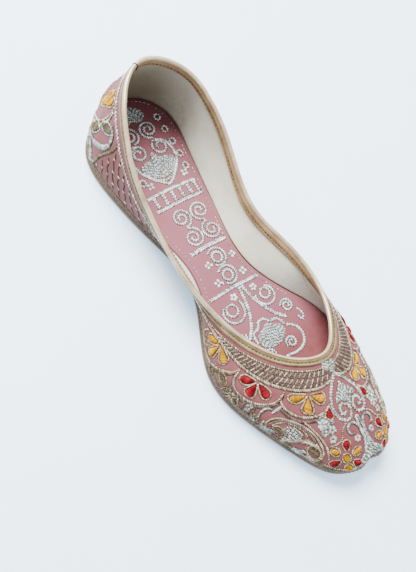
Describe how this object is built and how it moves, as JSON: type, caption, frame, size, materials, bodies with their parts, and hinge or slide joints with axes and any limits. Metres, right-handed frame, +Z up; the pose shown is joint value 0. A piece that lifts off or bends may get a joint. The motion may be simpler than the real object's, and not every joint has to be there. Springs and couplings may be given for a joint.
{
  "type": "mojari shoe",
  "caption": "Flat slip-on mojari shoe for the right foot: low embroidered upper open at the instep, bound collar, notched toe, thin leather sole and insole.",
  "frame": {"origin": "on the floor, under the middle of the shoe's bounding box", "axes": "+Z up, toe towards -Y, inner side of the foot at +X"},
  "size_m": [0.083, 0.249, 0.0552],
  "materials": {
    "sole leather": "tan edge, worn matt",
    "welt leather": "pale tan, satin",
    "embroidered cloth": "dusty pink cloth with metallic thread",
    "insole cloth": "pink cloth with silver thread",
    "binding leather": "cream, satin"
  },
  "bodies": {
    "root": {"outsole": "sole leather", "welt": "welt leather", "upper": "embroidered cloth", "insole": "insole cloth", "collar_binding": "binding leather"}
  },
  "joints": []
}
